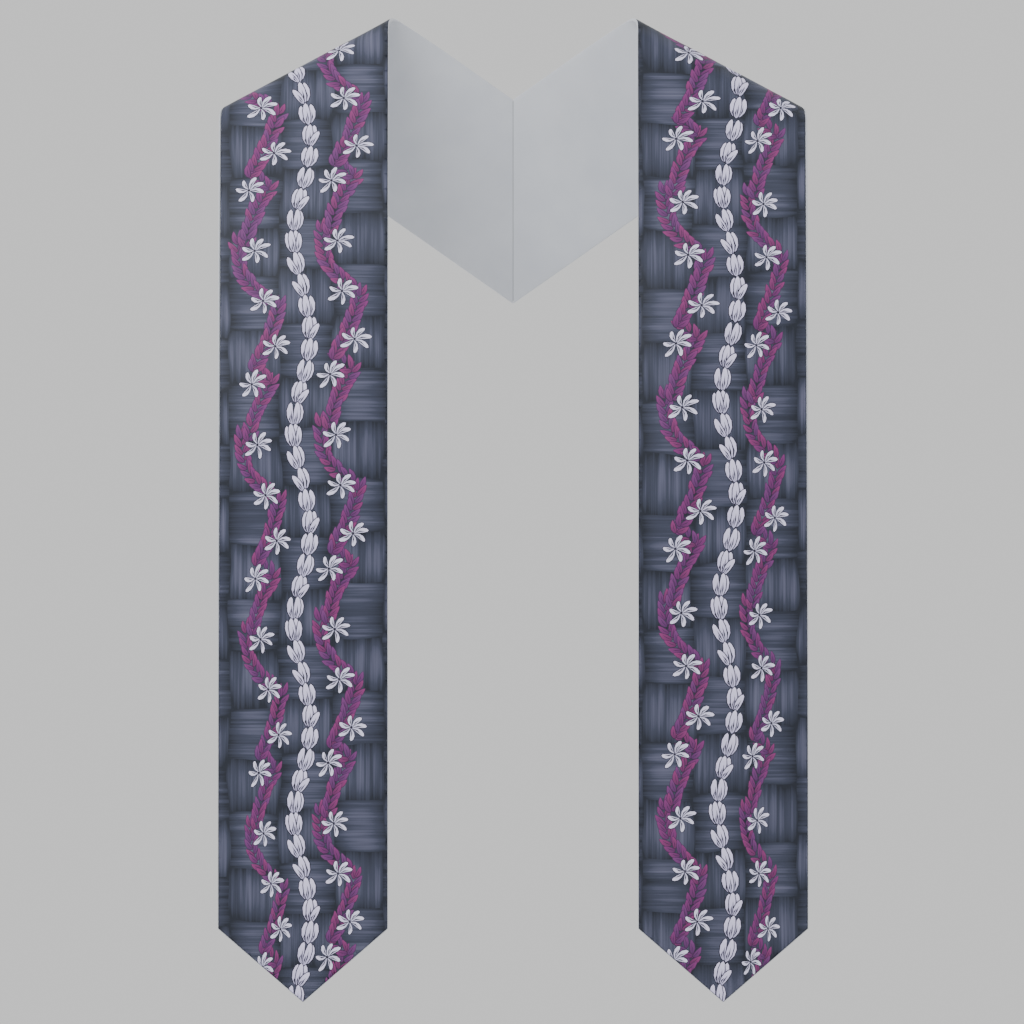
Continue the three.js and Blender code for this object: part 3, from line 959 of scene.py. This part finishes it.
def plaited_ground(tree, x, y):
    """The print's ground, drawn as broad strips plaited over and under each other. Each cell shows
    one strip, which runs up the band or across it in turn. It is lightest in the middle of its run,
    dark where it dives under the next strip, and finely streaked along its length."""
    wander = add(tree, "CombineXYZ", {0: x, 1: y})
    scale = 1 / WANDER_LENGTH
    wander = add(tree, "TexNoise", {"Vector": wander, "Scale": scale, "Detail": 1.0}, noise_dimensions="2D")
    wander = add(tree, "SeparateColor", {0: wander.outputs[1]})
    shifted = []
    for axis, channel in zip((x, y), wander.outputs):
        offset = add(tree, "Math", {0: channel, 1: WANDER, 2: -WANDER / 2}, operation="MULTIPLY_ADD")
        shifted.append(add(tree, "Math", {0: axis, 1: offset}, operation="ADD"))
    column = {0: shifted[0], 1: 1 / STRIP_WIDTH, 2: STRIP_START}
    column = add(tree, "Math", column, operation="MULTIPLY_ADD")
    parts = ("FLOOR", "FRACT")
    column_id, column_share = [add(tree, "Math", {0: column}, operation=part) for part in parts]
    stagger = {0: column_id, 1: -STRIP_STAGGER, 2: -STRIP_STAGGER}
    stagger = add(tree, "Math", stagger, operation="MULTIPLY_ADD")
    row = add(tree, "Math", {0: shifted[1], 1: 1 / STRIP_HEIGHT, 2: stagger}, operation="MULTIPLY_ADD")
    row_id, row_share = [add(tree, "Math", {0: row}, operation=part) for part in parts]
    upright = add(tree, "Math", {0: column_id, 1: row_id}, operation="ADD")
    upright = add(tree, "Math", {0: upright, 1: 2.0}, operation="FLOORED_MODULO")
    run, width, run_place, width_place = [
        add(tree, "Mix", {0: upright, 2: if_level, 3: if_upright})
        for if_level, if_upright in ((column_share, row_share), (row_share, column_share), (x, y), (y, x))
    ]

    # Round over the run: darker by a power of the distance from its middle
    bulge = add(tree, "Math", {0: run, 1: 2.0, 2: -1.0}, operation="MULTIPLY_ADD")
    bulge = add(tree, "Math", {0: bulge}, operation="ABSOLUTE")
    bulge = add(tree, "Math", {0: bulge, 1: BULGE_POWER}, operation="POWER")
    # A dark line along both edges of the strip
    edge = add(tree, "Math", {0: width, 1: 0.5}, operation="PINGPONG")
    edge = {0: edge, 1: 0.0, 2: EDGE_SHARE, 3: 1.0, 4: 0.0}
    edge = add(tree, "MapRange", edge, interpolation_type="SMOOTHSTEP")

    # Streaks: noise drawn out along the run, with a new draw for each cell
    cell = add(tree, "Math", {0: column_id, 1: 7.31, 2: row_id}, operation="MULTIPLY_ADD")
    tones = []
    for streak in STREAKS:
        u = add(tree, "Math", {0: width_place, 1: 1 / streak["width"]}, operation="MULTIPLY")
        w = add(tree, "Math", {0: run_place, 1: 1 / STREAK_LENGTH}, operation="MULTIPLY")
        place = add(tree, "CombineXYZ", {0: u, 1: w, 2: cell})
        noise = add(tree, "TexNoise", {"Vector": place, "Scale": 1.0, "Detail": streak["detail"]})
        tones.append((noise, streak["weight"]))
    tone = -0.22
    for part, weight in (*tones, (bulge, -0.48), (edge, -0.3)):
        tone = add(tree, "Math", {0: part, 1: weight, 2: tone}, operation="MULTIPLY_ADD")
    low = add(tree, "MapRange", {0: tone, 1: 0.0, 2: 0.5})
    high = add(tree, "MapRange", {0: tone, 1: 0.45, 2: 0.95})
    dark, mid, light = [(*linear(code), 1) for code in GROUND_INKS]
    colour = add(tree, "Mix", {0: low, 6: dark, 7: mid}, data_type="RGBA").outputs[2]
    return add(tree, "Mix", {0: high, 6: colour, 7: light}, data_type="RGBA").outputs[2]


# Width and length of the satin's long floats and of the grain across them, in millimetres. The real
# threads are about 0.15 mm wide, and are drawn coarser so that they show.
THREADS = [(0.55, 4.95), (2.75, 0.44)]
THREAD_HEIGHT = 0.03 * MM


def satin_threads(tree, place):
    """Bump of a satin weave: long floats along the band, crossed by a finer grain."""
    layers = []
    for width, length in THREADS:
        drawn = add(tree, "VectorMath", {0: place, 1: (1 / width, 1 / length, 1)}, operation="MULTIPLY")
        layers.append(add(tree, "TexNoise", {"Vector": drawn, "Scale": 1.0, "Detail": 2.0}))
    mixed = add(tree, "Math", {0: layers[1], 1: 0.5, 2: layers[0]}, operation="MULTIPLY_ADD")
    return add(tree, "Bump", {"Height": mixed, "Strength": 1.0, "Distance": THREAD_HEIGHT})


def satin(name, colour_of, finish):
    """A satin, made once: its colour is worked out from the place on the flat cloth in millimetres,
    and its finish is what sets its shader apart from the other satin's."""
    if name in bpy.data.materials:
        return bpy.data.materials[name]
    material, tree = new_material(name)
    flat = add(tree, "UVMap", uv_map="Flat")
    place = add(tree, "VectorMath", {0: flat, 3: 1 / MM}, operation="SCALE")
    colour = colour_of(tree, place)
    common = {"Base Color": colour, "IOR": 1.5, "Sheen Roughness": 0.4, "Normal": satin_threads(tree, place)}
    shader = add(tree, "BsdfPrincipled", common | finish)
    add(tree, "OutputMaterial", {"Surface": shader})
    return material


def printed_colour(tree, place):
    """The drawn motifs' inks over the plaited ground."""
    split = add(tree, "SeparateXYZ", {0: place})
    ground = plaited_ground(tree, split.outputs[0], split.outputs[1])
    ink = add(tree, "VertexColor", layer_name="Ink")
    return add(tree, "Mix", {0: ink.outputs[1], 6: ground, 7: ink.outputs[0]}, data_type="RGBA").outputs[2]


def mottled_colour(tree, place):
    """Cool off-white with a faint mottle from pressing."""
    mottle = add(tree, "TexNoise", {"Vector": place, "Scale": 1 / 40, "Detail": 3.0})
    pale, shade = [(*linear(code), 1) for code in ("#D3D6DC", "#BFC3CC")]
    return add(tree, "Mix", {0: mottle, 6: pale, 7: shade}, data_type="RGBA").outputs[2]


def satin_print():
    """Polyester satin, dye printed. The dye leaves the cloth smooth: a soft broad sheen over sharp
    coloured motifs, with the fine grain of the floats."""
    finish = {"Roughness": 0.5, "Specular IOR Level": 0.3, "Sheen Weight": 0.04}
    return satin("printed_satin_cloth", printed_colour, finish)


def lining_satin():
    """Plain pale polyester satin, pressed and rolled over at the edges: it has a softer, stronger
    sheen than the printed one."""
    finish = {"Roughness": 0.42, "Specular IOR Level": 0.4, "Sheen Weight": 0.15}
    return satin("pale_lining_satin", mottled_colour, finish)


# Stage, light and camera

PHOTO_PIXELS = 1024
PHOTO_SCALE = 0.7457 * MM  # metres a pixel, from the bands' real width
PHOTO_CENTRE = (-0.8 * MM, -369.8 * MM)
CAMERA_DISTANCE = 16.0
FLOOR_DROP = 70 * MM
FLOOR_CORNERS = [(-6, -6), (6, -6), (6, 2), (-6, 2)]
ROOM_LIGHT = 0.82
LIGHTS_AIM = Vector((0, 0, -0.3))
LIGHTS = [
    dict(name="front_light", place=(-0.75, -1.15, 0.6), size=0.9, power=16),
    dict(name="fill_light", place=(2.2, -2.8, 0.5), size=1.6, power=5),
    dict(name="overhead_light", place=(0, 0.3, 2.2), size=1.6, power=14),
]


def paper():
    """Matte studio paper, off-white and even."""
    material, tree = new_material("studio_paper")
    grain = add(tree, "TexCoord")
    grain = add(tree, "TexNoise", {"Vector": grain.outputs["Object"], "Scale": 3.0})
    low, high = [(*linear(code), 1) for code in ("#F4F4F4", "#F8F8F8")]
    colour = add(tree, "Mix", {0: grain, 6: low, 7: high}, data_type="RGBA").outputs[2]
    shader = add(tree, "BsdfPrincipled", {"Base Color": colour, "Roughness": 0.9})
    add(tree, "OutputMaterial", {"Surface": shader})
    return material


def studio():
    """A plain pale floor, a flat rectangle under the stole."""
    floor = CAD_BOX[0][2] - FLOOR_DROP
    mesh = bpy.data.meshes.new("studio_floor")
    mesh.from_pydata([(x, y, floor) for x, y in FLOOR_CORNERS], [], [(0, 1, 2, 3)])
    mesh.materials.append(paper())
    sheet = bpy.data.objects.new("studio_floor", mesh)
    bpy.context.collection.objects.link(sheet)


def lights():
    """Soft studio light: a pale room, a front light high on the left, a fill on the right and a broad
    light overhead."""
    world = bpy.data.worlds.new("pale_room")
    world.use_nodes = True
    background = world.node_tree.nodes["Background"]
    background.inputs["Color"].default_value = (1, 1, 1, 1)
    background.inputs["Strength"].default_value = ROOM_LIGHT
    bpy.context.scene.world = world
    for light in LIGHTS:
        lamp = bpy.data.lights.new(light["name"], "AREA")
        lamp.shape, lamp.size, lamp.energy = "SQUARE", light["size"], light["power"]
        holder = bpy.data.objects.new(light["name"], lamp)
        holder.location = light["place"]
        holder.rotation_euler = (LIGHTS_AIM - holder.location).to_track_quat("-Z", "Y").to_euler()
        bpy.context.collection.objects.link(holder)


def camera():
    """A long lens square on to the front, framed as the photograph is."""
    data = bpy.data.cameras.new("camera")
    data.sensor_width = 36.0
    data.lens = data.sensor_width * CAMERA_DISTANCE / (PHOTO_PIXELS * PHOTO_SCALE)
    data.clip_end = 100
    holder = bpy.data.objects.new("camera", data)
    front = CAD_BOX[0][1]
    holder.location = (PHOTO_CENTRE[0], front - CAMERA_DISTANCE, PHOTO_CENTRE[1])
    holder.rotation_euler = (math.pi / 2, 0, 0)
    bpy.context.collection.objects.link(holder)
    bpy.context.scene.camera = holder


def flat_size(outline):
    """Width, length and area of a flat outline, the area by the shoelace formula."""
    s, v = outline[:, 0], outline[:, 1]
    return (float(np.ptp(s)), float(np.ptp(v))), signed_area(outline)


camera()
studio()
lights()
for half in PRINTS:
    face, lining = printed_face(half), rolled_lining(half)
    for piece, node, slot, roll, support in (
        (face, f"{half}_face", "printed_satin", 1.0, [lining]),
        (lining, f"{half}_lining", "pale_lining", 0.0, []),
    ):
        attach(piece, "root")
        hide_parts(node)
        size, area = flat_size(band_outline(roll, 0.0)[0])
